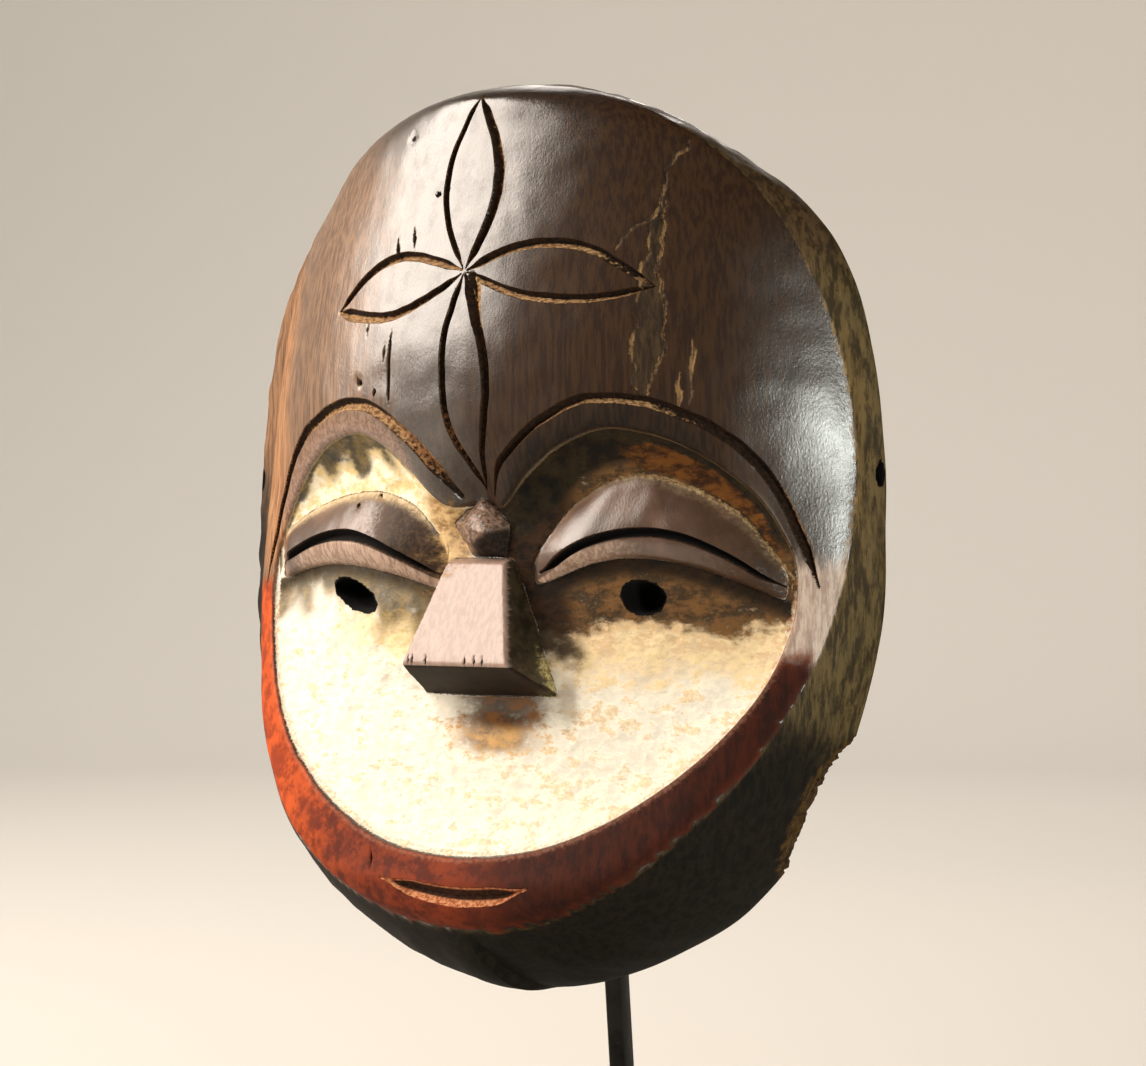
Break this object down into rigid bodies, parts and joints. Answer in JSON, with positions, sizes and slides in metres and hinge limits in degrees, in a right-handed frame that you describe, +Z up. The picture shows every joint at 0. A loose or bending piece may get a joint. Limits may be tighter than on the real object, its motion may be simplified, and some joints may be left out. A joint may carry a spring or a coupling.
{
  "type": "lega mask",
  "caption": "Carved wooden face mask with a hollow back, painted white and red, held up on a bent square bar in a flat steel foot.",
  "frame": {"origin": "centre of the foot's underside", "axes": "+Z up, -Y the way the mask faces, +X to the viewer's right; the mask's flat back edge lies in the plane y = 0"},
  "size_m": [0.2292, 0.15, 0.3691],
  "materials": {
    "painted_wood": "dark polished wood with white clay and red ochre in the carved face",
    "blackened_steel": "rough blackened steel"
  },
  "bodies": {
    "root": {"mask": "painted_wood", "stand_rod": "blackened_steel", "stand_foot": "blackened_steel"}
  },
  "joints": []
}
